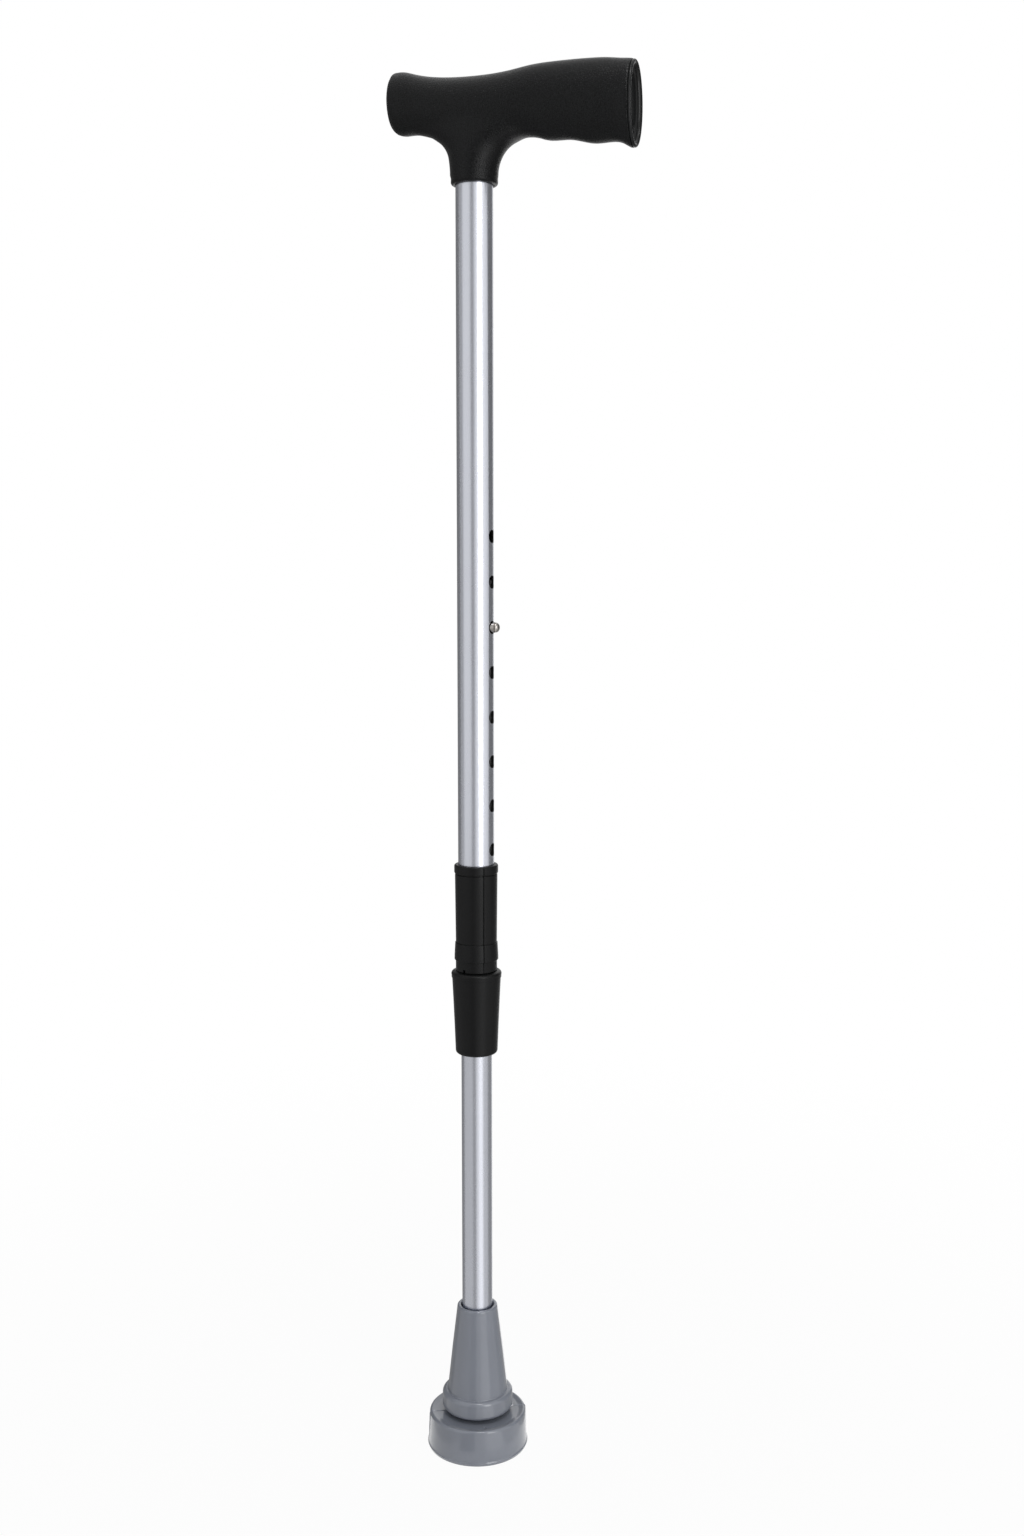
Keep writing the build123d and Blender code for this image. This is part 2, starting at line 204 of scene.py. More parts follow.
softbox("key_softbox", azimuth=33, distance=1.9, height=0.75, aim=0.75, width=0.7, tall=2.3, power=17.0)
softbox("top_softbox", azimuth=14, distance=0.9, height=2.3, aim=0.3, width=0.5, tall=0.5, power=9.0)
card("front_card", azimuth=-14, spread=22, level=0.40)
card("left_soft_card", azimuth=-92, spread=26, level=0.50)
card("left_card", azimuth=-140, spread=66, level=0.24)
card("right_soft_card", azimuth=63, spread=20, level=1.15)
card("right_card", azimuth=115, spread=62, level=0.22)
card("front_floor_card", azimuth=-17, spread=26, level=0.42, lying=True)
card("left_soft_floor_card", azimuth=-68, spread=74, level=0.68, lying=True)
card("left_floor_card", azimuth=-140, spread=68, level=0.30, lying=True)
card("key_floor_card", azimuth=31, spread=32, level=1.38, lying=True)
card("right_soft_floor_card", azimuth=70, spread=42, level=0.72, lying=True)
card("right_floor_card", azimuth=120, spread=58, level=0.36, lying=True)


# ---- foot disc ----
# A thick disc of grey rubber, moulded round the ball stud's plate. Three ring grooves make its
# tread, the two halves of its mould leave a fine line across the top, and a small vent opens there.
def open_group(name, inputs, output, output_kind):
    """A node group with named inputs and one output, and its tree, inputs and output end."""
    group = bpy.data.node_groups.new(name, "ShaderNodeTree")
    for label, kind in inputs:
        group.interface.new_socket(label, in_out="INPUT", socket_type=kind)
    group.interface.new_socket(output, in_out="OUTPUT", socket_type=output_kind)
    source = group.nodes.new("NodeGroupInput").outputs
    return group, source


def close_group(group, value):
    """Links the group's one output."""
    end = group.nodes.new("NodeGroupOutput")
    group.links.new(value, end.inputs[0])


VECTOR, FLOAT, COLOUR = "NodeSocketVector", "NodeSocketFloat", "NodeSocketColor"

# grain: the fine even texture that a spark-eroded mould leaves, as a height from 0 to 1
grain_group, source = open_group("mould_grain", [("Vector", VECTOR), ("Scale", FLOAT)], "Height", FLOAT)
pits = add_node(
    grain_group,
    "ShaderNodeTexVoronoi",
    {"Vector": source["Vector"], "Scale": source["Scale"]},
    feature="SMOOTH_F1",
)
fuzz = add_node(
    grain_group,
    "ShaderNodeTexNoise",
    {"Vector": source["Vector"], "Scale": source["Scale"], "Detail": 3.0},
)
close_group(
    grain_group,
    add_node(
        grain_group,
        "ShaderNodeMath",
        {0: pits.outputs["Distance"], 1: fuzz.outputs[0]},
        operation="ADD",
        use_clamp=False,
    ).outputs[0],
)

# tone: a colour that drifts a little lighter and darker over the surface
tone_group, source = open_group(
    "tone_drift",
    [("Vector", VECTOR), ("Colour", COLOUR), ("Amount", FLOAT), ("Scale", FLOAT)],
    "Colour",
    COLOUR,
)
cloud = add_node(
    tone_group,
    "ShaderNodeTexNoise",
    {"Vector": source["Vector"], "Scale": source["Scale"], "Detail": 5.0, "Roughness": 0.62},
)
centred = add_node(tone_group, "ShaderNodeMath", {0: cloud.outputs[0], 1: 0.5}, operation="SUBTRACT")
gain = add_node(
    tone_group,
    "ShaderNodeMath",
    {0: centred.outputs[0], 1: source["Amount"], 2: 1.0},
    operation="MULTIPLY_ADD",
)
close_group(
    tone_group,
    add_node(
        tone_group,
        "ShaderNodeVectorMath",
        {0: source["Colour"], "Scale": gain.outputs[0]},
        operation="SCALE",
    ).outputs[0],
)

# marks: roughness that varies with handling, in soft smears and a few fine lines
marks_group, source = open_group(
    "handling_marks",
    [("Vector", VECTOR), ("Roughness", FLOAT), ("Amount", FLOAT), ("Scale", FLOAT)],
    "Roughness",
    FLOAT,
)
smear = add_node(
    marks_group,
    "ShaderNodeTexNoise",
    {"Vector": source["Vector"], "Scale": source["Scale"], "Detail": 4.0, "Distortion": 0.8},
)
lines = add_node(
    marks_group,
    "ShaderNodeMapping",
    {"Vector": source["Vector"], "Rotation": (0.3, 0.2, 0.1), "Scale": (26.0, 26.0, 1.0)},
)
hairs = add_node(
    marks_group, "ShaderNodeTexNoise", {"Vector": lines.outputs[0], "Scale": source["Scale"], "Detail": 2.0}
)
sparse = add_node(
    marks_group,
    "ShaderNodeMapRange",
    {"Value": hairs.outputs[0], "From Min": 0.66, "From Max": 0.74, "To Min": 0.0, "To Max": 0.6},
)
both = add_node(marks_group, "ShaderNodeMath", {0: smear.outputs[0], 1: sparse.outputs[0]}, operation="ADD")
middle = add_node(marks_group, "ShaderNodeMath", {0: both.outputs[0], 1: 0.55}, operation="SUBTRACT")
close_group(
    marks_group,
    add_node(
        marks_group,
        "ShaderNodeMath",
        {0: middle.outputs[0], 1: source["Amount"], 2: source["Roughness"]},
        operation="MULTIPLY_ADD",
        use_clamp=True,
    ).outputs[0],
)


def use_group(tree, group, inputs):
    """Places a node group in a material and returns its output."""
    return add_node(tree, "ShaderNodeGroup", inputs, node_tree=group).outputs[0]


class Finish:
    """A material with its tree, its shader and its Object coordinates."""

    def __init__(self, name):
        self.material = bpy.data.materials.new(name)
        self.material.use_nodes = True
        self.tree = self.material.node_tree
        self.shader = self.tree.nodes["Principled BSDF"]
        self.spot = add_node(self.tree, "ShaderNodeTexCoord", {}).outputs["Object"]

    def set(self, **sockets):
        """Constant values, set on the shader's own sockets."""
        for name, value in sockets.items():
            self.shader.inputs[name.replace("_", " ")].default_value = value

    def colour(self, colour, amount, scale):
        """Base colour with a slight drift."""
        tone = use_group(
            self.tree,
            tone_group,
            {"Vector": self.spot, "Colour": (*colour, 1), "Amount": amount, "Scale": scale},
        )
        self.tree.links.new(tone, self.shader.inputs["Base Color"])

    def rough(self, roughness, amount, scale):
        """Roughness with the marks of handling."""
        marks = use_group(
            self.tree,
            marks_group,
            {"Vector": self.spot, "Roughness": roughness, "Amount": amount, "Scale": scale},
        )
        self.tree.links.new(marks, self.shader.inputs["Roughness"])

    def bump(self, height, depth, strength=1.0):
        """Adds relief of this depth in metres on top of any relief there already."""
        relief = add_node(
            self.tree, "ShaderNodeBump", {"Height": height, "Distance": depth, "Strength": strength}
        )
        normal = self.shader.inputs["Normal"]
        if normal.is_linked:
            self.tree.links.new(normal.links[0].from_socket, relief.inputs["Normal"])
        self.tree.links.new(relief.outputs[0], normal)

    def grain(self, size, depth):
        """Mould grain of this spot size and depth in metres."""
        height = use_group(self.tree, grain_group, {"Vector": self.spot, "Scale": 1 / size})
        self.bump(height, depth)

    def dress(self, node):
        """Puts the material on a CAD node in place of its plain one."""
        for index in range(len(nodes[node].material_slots)):
            nodes[node].material_slots[index].material = self.material


def arc(across, up, radius, start, end, steps=6):
    """Points along a round stretch of a turned profile, in millimetres and degrees."""
    turns = [math.radians(start + (end - start) * step / steps) for step in range(steps + 1)]
    return [(across + radius * math.cos(turn), up + radius * math.sin(turn)) for turn in turns]


def lathe(profile, level, closed=False, steps=144):
    """Spins a profile of (radius, height) in millimetres about the shaft, from a level in metres."""
    bm = bmesh.new()
    verts = [bm.verts.new((across * MM, 0, level + up * MM)) for across, up in profile]
    pairs = list(zip(verts, verts[1:]))
    if closed:
        pairs.append((verts[-1], verts[0]))
    edges = [bm.edges.new(pair) for pair in pairs]
    bmesh.ops.spin(
        bm, geom=verts + edges, cent=(0, 0, 0), axis=(0, 0, 1), angle=math.tau, steps=steps, use_merge=True
    )
    bmesh.ops.remove_doubles(bm, verts=bm.verts, dist=0.001 * MM)
    bmesh.ops.recalc_face_normals(bm, faces=bm.faces)
    return bm


def raise_seam(bm, angle, half_width, rise, inner, low, high):
    """A parting line up a turned piece at this angle: a thin ridge, or a groove where rise is negative."""
    turn = math.radians(angle)
    outward = Vector((math.cos(turn), math.sin(turn), 0))
    across = Vector((-math.sin(turn), math.cos(turn), 0))
    for offset in (-half_width, 0.0, half_width):
        bmesh.ops.bisect_plane(
            bm,
            geom=bm.verts[:] + bm.edges[:] + bm.faces[:],
            dist=0.001 * MM,
            plane_co=across * offset,
            plane_no=across,
        )
    bm.normal_update()
    for vert in bm.verts:
        on_line = abs(vert.co.dot(across)) < 0.002 * MM and vert.co.dot(outward) > inner
        if on_line and low < vert.co.z < high:
            vert.co += vert.normal * rise


def even_normals(piece):
    """Keeps flat and round stretches shading as they lie."""
    weighted = piece.modifiers.new("even_normals", "WEIGHTED_NORMAL")
    weighted.keep_sharp = True


rubber = Finish("grey_rubber")
rubber.colour((0.215, 0.232, 0.273), amount=0.12, scale=60.0)
rubber.rough(0.29, amount=0.05, scale=90.0)
rubber.set(Specular_IOR_Level=0.3, Coat_Weight=1.0, Coat_Roughness=0.07)
rubber.grain(size=0.5 * MM, depth=0.003 * MM)

foot_low, foot_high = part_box("tip_base")
foot_rim = 31.79
rim_round = 0.7
tread_radii = (14.0, 19.5, 25.0)
tread_groove = ((-1.3, 0), (-1.0, 0.3), (-0.8, 1.5), (0.8, 1.5), (1.0, 0.3), (1.3, 0))
disc_top = 21.7
top_edge = 26.0
top_rings = 9
top_ring_step = 0.4
stud_neck_bore = 4.04
plate_bore = 13.04
plate_top = 9.54
plate_bottom = 6.96
foot_profile = [(0, 0)]
for radius in tread_radii:
    foot_profile += [(radius + across, up) for across, up in tread_groove]
foot_profile += arc(30.9, 0.5, 0.5, -90, -20, 3)
foot_profile += arc(foot_rim - rim_round, 1.6, rim_round, -40, 60, 5)
foot_profile += [(31.25, 2.6), (30.75, 11.0)]
foot_profile += arc(28.75, 20.55, 1.65, 3, 92, 8)
foot_profile += [(27.6, 21.95)]
foot_profile += [(top_edge - top_ring_step * step, disc_top) for step in range(top_rings)]
foot_profile += [(stud_neck_bore, disc_top), (stud_neck_bore, plate_top)]
foot_profile += [(plate_bore, plate_top), (plate_bore, plate_bottom), (0, plate_bottom)]
bm = lathe(foot_profile, foot_low.z, steps=240)
vent_angle = -58.0
vent_middle = Vector((24.4, 0, 0)) * MM
vent_middle.rotate(Matrix.Rotation(math.radians(vent_angle), 3, "Z"))
vent_reach = 0.85 * MM
vent_depth = 1.6 * MM
for vert in bm.verts:
    from_vent = math.hypot(vert.co.x - vent_middle.x, vert.co.y - vent_middle.y)
    if vert.co.z > foot_low.z + (disc_top - 0.1) * MM and from_vent < vent_reach:
        vert.co.z -= vent_depth
mould_split = (28.0, 208.0)
for angle in mould_split:
    raise_seam(bm, angle, 0.35 * MM, 0.36 * MM, 22.4 * MM, 3.0 * MM, foot_high.z)
foot_disc = new_object("foot_disc", bm)
foot_disc.data.materials.append(rubber.material)
even_normals(foot_disc)
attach(foot_disc, "foot")
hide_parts("tip_base")

# ---- ball stud ----
# A bright steel ball on a short neck. Its plate is moulded into the foot disc and the ball
# snaps into the cup above.
steel = Finish("turned_steel")
steel.colour((0.56, 0.56, 0.57), amount=0.08, scale=160.0)
steel.set(Metallic=1.0)
steel.rough(0.24, amount=0.14, scale=220.0)
steel.grain(size=0.25 * MM, depth=0.002 * MM)
steel.dress("ball_stud")

# ---- ball cup ----
# A nylon socket pressed into the boot from below. The ball turns in it, so the disc can
# follow sloping ground.
nylon = Finish("natural_nylon")
nylon.colour((0.62, 0.60, 0.54), amount=0.10, scale=90.0)
nylon.rough(0.42, amount=0.12, scale=120.0)
nylon.set(Subsurface_Weight=0.12, Subsurface_Scale=1.5 * MM)
nylon.grain(size=0.5 * MM, depth=0.008 * MM)
for node in ("ball_cup", "tube_plug", "clamp_ring"):
    nylon.dress(node)

# ---- boot ----
# The grey rubber cone that grips the lower tube, with a soft flange ring that hides the
# ball joint. Its mouth stands a little off the tube.
boot_low, boot_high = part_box("tip_boot")
flange = 22.2
flange_tall = 11.8
cone_foot = 18.9
cone_top = 12.6
flange_round = 2.5
lip_round = 1.15
cup_pocket = 11.02
tube_socket = 9.54
socket_floor = 23.62
drain_hole = 7.0
boot_tall = (boot_high.z - boot_low.z) / MM
boot_profile = [(cup_pocket, 0.35), (18.6, 0.35), (19.4, 0.0)]
boot_profile += arc(flange - flange_round, flange_round, flange_round, -88, -4, 8)
boot_profile += arc(flange - flange_round, flange_tall - flange_round, flange_round, 4, 88, 8)
boot_profile += [(cone_foot + 0.5, flange_tall - 0.05)]
boot_profile += arc(cone_foot + 0.4, flange_tall + 0.45, 0.5, -100, -172, 4)
boot_profile += [(cone_foot - 3.1, flange_tall + 28.0)]
boot_profile += arc(cone_top - 1.1, boot_tall - lip_round, lip_round, 6, 96, 6)
boot_profile += arc(cone_top - 1.75, boot_tall - 0.5, 0.5, 90, 176, 3)
boot_profile += [(tube_socket + 0.02, boot_tall - 4.2), (tube_socket, boot_tall - 40.0)]
boot_profile += [(tube_socket, socket_floor), (drain_hole, socket_floor)]
boot_profile += [(drain_hole, 19.45), (cup_pocket, 19.4)]
bm = lathe(boot_profile, boot_low.z, closed=True)
for angle in mould_split:
    raise_seam(bm, angle, 0.25 * MM, 0.10 * MM, 11.5 * MM, boot_low.z + 2.4 * MM, boot_high.z - 1.5 * MM)
boot = new_object("boot", bm)
boot.data.materials.append(rubber.material)
even_normals(boot)
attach(boot, "lower_shaft")
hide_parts("tip_boot")

# ---- tube washer ----
# A steel disc that keeps the tube's end from cutting into the rubber.
steel.dress("tube_washer")

# ---- lower tube and upper tube ----
# Drawn aluminium, brushed fine and anodised in a satin silver. The bores, and the lower tube's top
# end seen through the upper tube's holes, carry painted shade: a dull, dark base colour.
def drawn_noise(finish, size, stretch):
    """Noise drawn out along Z, as drawing a tube or rolling a strip leaves it."""
    along = add_node(
        finish.tree, "ShaderNodeMapping", {"Vector": finish.spot, "Scale": (1.0, 1.0, 1 / stretch)}
    )
    return add_node(
        finish.tree,
        "ShaderNodeTexNoise",
        {"Vector": along.outputs[0], "Scale": 1 / size, "Detail": 3.0},
    ).outputs[0]


def anodised_tube(name, node, skin, shaded_from):
    """Satin anodised metal, with painted shade: dark and dull within the skin radius and from the shaded
    level up.
    """
    finish = Finish(name)
    tree = finish.tree
    finish.rough(0.27, amount=0.06, scale=48.0)
    finish.bump(drawn_noise(finish, size=0.12 * MM, stretch=90.0), 0.0009 * MM)
    finish.bump(drawn_noise(finish, size=1.2 * MM, stretch=60.0), 0.0007 * MM)
    level = add_node(tree, "ShaderNodeSeparateXYZ", {"Vector": finish.spot}).outputs["Z"]
    flat = add_node(tree, "ShaderNodeVectorMath", {0: finish.spot, 1: (1, 1, 0)}, operation="MULTIPLY")
    reach = add_node(tree, "ShaderNodeVectorMath", {0: flat.outputs[0]}, operation="LENGTH")
    # painted shade: within the skin radius and above the level, a dark non-metal base colour stands in for
    # the shade in bores and holes
    within = add_node(tree, "ShaderNodeMath", {0: reach.outputs["Value"], 1: skin}, operation="LESS_THAN")
    above = add_node(tree, "ShaderNodeMath", {0: level, 1: shaded_from}, operation="GREATER_THAN")
    dark = add_node(tree, "ShaderNodeMath", {0: within.outputs[0], 1: above.outputs[0]}, operation="MAXIMUM")
    tone = use_group(
        tree,
        tone_group,
        {"Vector": finish.spot, "Colour": (0.585, 0.60, 0.655, 1), "Amount": 0.035, "Scale": 26.0},
    )
    paint = add_node(
        tree,
        "ShaderNodeMix",
        {"Factor": dark.outputs[0], 6: tone, 7: (0.012, 0.012, 0.012, 1)},
        data_type="RGBA",
    )
    tree.links.new(paint.outputs[2], finish.shader.inputs["Base Color"])
    unshaded = add_node(tree, "ShaderNodeMath", {0: 1.0, 1: dark.outputs[0]}, operation="SUBTRACT")
    tree.links.new(unshaded.outputs[0], finish.shader.inputs["Metallic"])
    finish.set(Specular_IOR_Level=0.2)
    finish.dress(node)


# from this level up the lower tube gets painted shade, so the upper tube's holes look dark over it
lower_painted_shade_start = 0.378
above_the_cane = 1.0
anodised_tube("satin_anodised_lower", "lower_tube", skin=9.3 * MM, shaded_from=lower_painted_shade_start)
anodised_tube("satin_anodised_upper", "upper_tube", skin=10.88 * MM, shaded_from=above_the_cane)

# ---- guide ring ----
# A cap of black nylon on the lower tube's top end. It runs in the upper tube's bore and
# stops the two from rattling.
black_nylon = Finish("black_nylon")
black_nylon.colour((0.012, 0.012, 0.013), amount=0.2, scale=120.0)
black_nylon.rough(0.5, amount=0.12, scale=160.0)
black_nylon.set(Specular_IOR_Level=0.2)
black_nylon.grain(size=0.5 * MM, depth=0.01 * MM)
black_nylon.dress("guide_ring")

# ---- snap button and its spring ----
# A nickel-plated steel stud with a domed head. It is riveted to a bent strip of spring
# steel inside the lower tube.
nickel = Finish("polished_nickel")
nickel.colour((0.36, 0.34, 0.32), amount=0.05, scale=300.0)
nickel.set(Metallic=1.0)
nickel.rough(0.13, amount=0.10, scale=420.0)
nickel.grain(size=0.3 * MM, depth=0.0012 * MM)
button_low, button_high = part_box("snap_button")
button_level = (button_low.z + button_high.z) / 2
button_out = button_high.x / MM
shank = 3.15
rivet = 1.6
collar = 3.8
collar_in = 5.9
collar_out = 7.0
dome = 2.4
neck_depth = 0.35
button_profile = [(0, 3.6), (rivet, 3.6), (2.6, 4.4), (rivet, 4.6), (rivet, collar_in)]
button_profile += [(collar, collar_in), (collar, collar_out), (shank, collar_out)]
button_profile += [(shank, button_out - 2.9), (shank - neck_depth, button_out - 2.75)]
button_profile += [(shank - neck_depth, button_out - 2.5)]
button_profile += [
    ((shank - 0.1) * math.cos(math.radians(turn)), button_out - dome + dome * math.sin(math.radians(turn)))
    for turn in range(6, 91, 7)
]
button_profile += [(0, button_out)]
bm = lathe(button_profile, 0.0, steps=64)
bmesh.ops.rotate(bm, matrix=Matrix.Rotation(math.pi / 2, 3, "Y"), verts=bm.verts)
bmesh.ops.translate(bm, vec=(0, 0, button_level), verts=bm.verts)
button = new_object("button", bm)
button.data.materials.append(nickel.material)
even_normals(button)
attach(button, "button")
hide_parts("snap_button")

spring_steel = Finish("blued_spring_steel")
spring_steel.colour((0.20, 0.21, 0.24), amount=0.25, scale=140.0)
spring_steel.set(Metallic=1.0)
spring_steel.rough(0.34, amount=0.12, scale=200.0)
spring_steel.bump(drawn_noise(spring_steel, size=0.2 * MM, stretch=20.0), 0.003 * MM)
spring_steel.dress("button_spring")

# ---- locking sleeve ----
# Black satin plastic pushed on the upper tube's end, with a band round its top and a flared
# skirt. Its slotted, threaded fingers reach down into the lock nut.
def bake_modifiers(piece):
    """Replaces the mesh by what its modifiers make of it."""
    depsgraph = bpy.context.evaluated_depsgraph_get()
    mesh = bpy.data.meshes.new_from_object(piece.evaluated_get(depsgraph))
    piece.modifiers.clear()
    piece.data = mesh


def cut_away(piece, cutter):
    """Takes a bmesh cutter's volume out of a piece."""
    tool = new_object("cutter", cutter)
    boolean = piece.modifiers.new("cut", "BOOLEAN")
    boolean.operation = "DIFFERENCE"
    boolean.solver = "EXACT"
    boolean.object = tool
    bake_modifiers(piece)
    bpy.data.objects.remove(tool)


def box_mesh(low, high, turn=0.0):
    """A box between two corners in metres, turned about Z by an angle in degrees."""
    bm = bmesh.new()
    bmesh.ops.create_cube(bm, size=1.0)
    low, high = Vector(low), Vector(high)
    bmesh.ops.scale(bm, vec=high - low, verts=bm.verts)
    bmesh.ops.translate(bm, vec=(low + high) / 2, verts=bm.verts)
    bmesh.ops.rotate(bm, matrix=Matrix.Rotation(math.radians(turn), 3, "Z"), verts=bm.verts)
    return bm


satin_plastic = Finish("black_satin_plastic")
satin_plastic.colour((0.0048, 0.0050, 0.0053), amount=0.25, scale=60.0)
satin_plastic.rough(0.36, amount=0.07, scale=90.0)
satin_plastic.set(Specular_IOR_Level=0.17)
satin_plastic.grain(size=0.35 * MM, depth=0.006 * MM)
sleeve_low, sleeve_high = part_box("locking_sleeve")
sleeve_tall = (sleeve_high.z - sleeve_low.z) / MM
neck = 19.0
skirt = 25.6
waist = 36.5
seat = 43.0
groove = 79.3
thread_pitch = 3.0
thread_crest = 12.3
thread_depth = 0.5
thread_rings = 56
finger_bore = 9.58
tube_bore = 11.02
sleeve_profile = [(finger_bore, 0.3), (9.8, 0.0), (11.2, 0.0)]
for ring in range(thread_rings):
    sleeve_profile += [(thread_crest - 0.1, 0.9 + (neck - 1.2) * ring / (thread_rings - 1))]
sleeve_profile += arc(12.4, neck + 0.3, 0.3, -90, 0, 3)
sleeve_profile += [(12.7, skirt - 0.4)]
sleeve_profile += arc(13.0, skirt + 0.5, 0.5, -100, -10, 5)
sleeve_profile += [(13.42, skirt + 3.4), (13.05, waist - 0.7)]
sleeve_profile += arc(12.7, waist - 0.35, 0.35, 0, 90, 4)
sleeve_profile += [(12.45, waist + 0.05), (12.42, waist + 0.35), (12.62, waist + 1.0), (13.02, groove - 0.9)]
sleeve_profile += [(12.95, groove - 0.35), (12.55, groove - 0.1), (12.55, groove + 0.45)]
sleeve_profile += arc(12.95, groove + 0.95, 0.5, -120, 0, 4)
sleeve_profile += arc(12.35, sleeve_tall - 1.1, 1.1, 0, 88, 6)
sleeve_profile += arc(11.4, sleeve_tall - 0.35, 0.35, 90, 180, 3)
sleeve_profile += [(tube_bore, seat), (finger_bore, seat)]
bm = lathe(sleeve_profile, sleeve_low.z, closed=True)
for vert in bm.verts:
    up = vert.co.z - sleeve_low.z
    across = math.hypot(vert.co.x, vert.co.y)
    if 0.8 * MM < up < (neck - 0.2) * MM and across > 12.0 * MM:
        turn = math.atan2(vert.co.y, vert.co.x) / math.tau
        share = (up / MM / thread_pitch - turn) % 1.0
        ridge = abs(2 * share - 1)
        radius = (thread_crest - thread_depth * min(1.0, 1.6 * ridge)) * MM
        vert.co.x *= radius / across
        vert.co.y *= radius / across
seam_low = sleeve_low.z + 19.6 * MM
seam_high = sleeve_high.z - 0.9 * MM
groove_and_lip = ((0.0, -0.34), (1.7, 0.14))
for angle in (-49.0, 131.0):
    for turn, rise in groove_and_lip:
        raise_seam(bm, angle + turn, 0.24 * MM, rise * MM, 12.0 * MM, seam_low, seam_high)
sleeve = new_object("sleeve", bm)
finger_slots = (-105.0, 15.0, 135.0)
slot_half = 0.8 * MM
slot_from = (5 * MM, -slot_half, sleeve_low.z - 1 * MM)
slot_to = (20 * MM, slot_half, sleeve_low.z + 21 * MM)
for angle in finger_slots:
    cut_away(sleeve, box_mesh(slot_from, slot_to, angle))
sleeve.data.shade_smooth()
sleeve.data.set_sharp_from_angle(angle=math.radians(35))
sleeve.data.materials.clear()
sleeve.data.materials.append(satin_plastic.material)
even_normals(sleeve)
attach(sleeve, "upper_shaft")
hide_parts("locking_sleeve")

# ---- lock nut ----
# A long tapered nut of the same black plastic, with a rounded bead round its mouth. It is
# screwed up over the fingers by hand.
nut_low, nut_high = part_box("lock_nut")
nut_tall = (nut_high.z - nut_low.z) / MM
bead = 15.5
shoulder = 15.0
nut_foot = 12.9
thread_bore = 12.38
cone_bore = 10.3
thread_end = 22.7
nut_profile = [(cone_bore, 0.5), (cone_bore + 0.5, 0.0)]
nut_profile += arc(nut_foot - 2.0, 2.1, 2.1, -88, 2, 8)
nut_profile += [(13.6, 18.0), (14.35, 35.0), (shoulder, nut_tall - 4.3)]
nut_profile += arc(shoulder + 0.12, nut_tall - 3.9, 0.3, -150, -40, 3)
nut_profile += arc(bead - 1.7, nut_tall - 2.0, 1.7, -22, 86, 10)
nut_profile += arc(thread_bore + 0.6, nut_tall - 0.5, 0.5, 90, 180, 4)
nut_profile += [(thread_bore, thread_end), (cone_bore, thread_end)]
bm = lathe(nut_profile, nut_low.z, closed=True)
seam_low = nut_low.z + 36 * MM
seam_high = nut_high.z - 4.4 * MM
for angle in (-71.0, 109.0):
    raise_seam(bm, angle, 0.2 * MM, -0.12 * MM, 12.6 * MM, seam_low, seam_high)
nut = new_object("nut", bm)
nut.data.materials.append(satin_plastic.material)
even_normals(nut)
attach(nut, "nut")
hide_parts("lock_nut")

# ---- handle ----
# One moulding of black grained plastic, grip and stem, that runs together in a soft fillet
# under the saddle. The tube is glued into its socket.
def painted_grain_shading(finish, dark, light, size):
    """Base colour with painted shade in the grain's pits and painted highlight on its tops, with a slight
    drift.
    """
    tree = finish.tree
    height = use_group(tree, grain_group, {"Vector": finish.spot, "Scale": 1 / size})
    share = add_node(tree, "ShaderNodeMapRange", {"Value": height, "From Min": 0.6, "From Max": 1.1})
    grains = add_node(
        tree,
        "ShaderNodeMix",
        {"Factor": share.outputs[0], 6: (*dark, 1), 7: (*light, 1)},
        data_type="RGBA",
    )
    tone = use_group(
        tree,
        tone_group,
        {"Vector": finish.spot, "Colour": grains.outputs[2], "Amount": 0.3, "Scale": 45.0},
    )
    tree.links.new(tone, finish.shader.inputs["Base Color"])


grip_plastic = Finish("black_grained_plastic")
# painted shade and highlight of the grain: dark colour in its pits, light colour on its tops
painted_grain_shading(grip_plastic, (0.0004, 0.0004, 0.0006), (0.0058, 0.0061, 0.0066), size=0.8 * MM)
grip_plastic.rough(0.27, amount=0.08, scale=60.0)
grip_plastic.set(Specular_IOR_Level=0.16)
grip_plastic.grain(size=0.6 * MM, depth=0.16 * MM)
palm_seam = 95.3 * MM
remesh_size = 0.7 * MM
stem_half = 14.1
fillet_left = 21.5
fillet_left_start = 9.2
fillet_right = 18.5
fillet_right_start = 5.8
flare_rings = 18
flare_low = 5.0
flare_high = 30.6


def oval_ring(bm, place, half_first, half_second, segments=128):
    """One oval ring of edges in the local XY plane of a place, with its two half widths in metres."""
    made = bmesh.ops.create_circle(bm, cap_ends=False, segments=segments, radius=1.0)
    stretch = Matrix.Diagonal((half_first, half_second, 1.0, 1.0))
    bmesh.ops.transform(bm, matrix=place @ stretch, verts=made["verts"])
    return list({edge for vert in made["verts"] for edge in vert.link_edges})


def skin_rings(bm, rings):
    """Joins rings in their order, closes both ends and turns the faces outwards."""
    for first, second in zip(rings, rings[1:]):
        bmesh.ops.bridge_loops(bm, edges=first + second)
    for ring in (rings[0], rings[-1]):
        bmesh.ops.contextual_create(bm, geom=ring)
    bmesh.ops.recalc_face_normals(bm, faces=bm.faces)


def fillet_reach(rise, radius):
    """How far a fillet of this radius stands out beyond the stem at a rise above its start."""
    rise = min(max(rise, 0.0), radius)
    return radius - math.sqrt(radius**2 - rise**2)


grip_low, grip_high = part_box("handle_grip")
bm = bmesh.new()
rings = []
for step in range(flare_rings + 1):
    level = flare_low + (flare_high - flare_low) * step / flare_rings
    left = -stem_half - fillet_reach(level - fillet_left_start, fillet_left)
    right = stem_half + fillet_reach(level - fillet_right_start, fillet_right)
    half_wide = stem_half - 2.4 * max(0.0, level - 14.0) / 16.0
    place = Matrix.Translation(((left + right) / 2 * MM, 0, grip_low.z + level * MM))
    rings.append(oval_ring(bm, place, (right - left) / 2 * MM, half_wide * MM))
place = Matrix.Translation((0, 0, grip_low.z + 44 * MM))
rings.append(oval_ring(bm, place, 20 * MM, 9 * MM))
skin_rings(bm, rings)
flare = new_object("flare", bm)

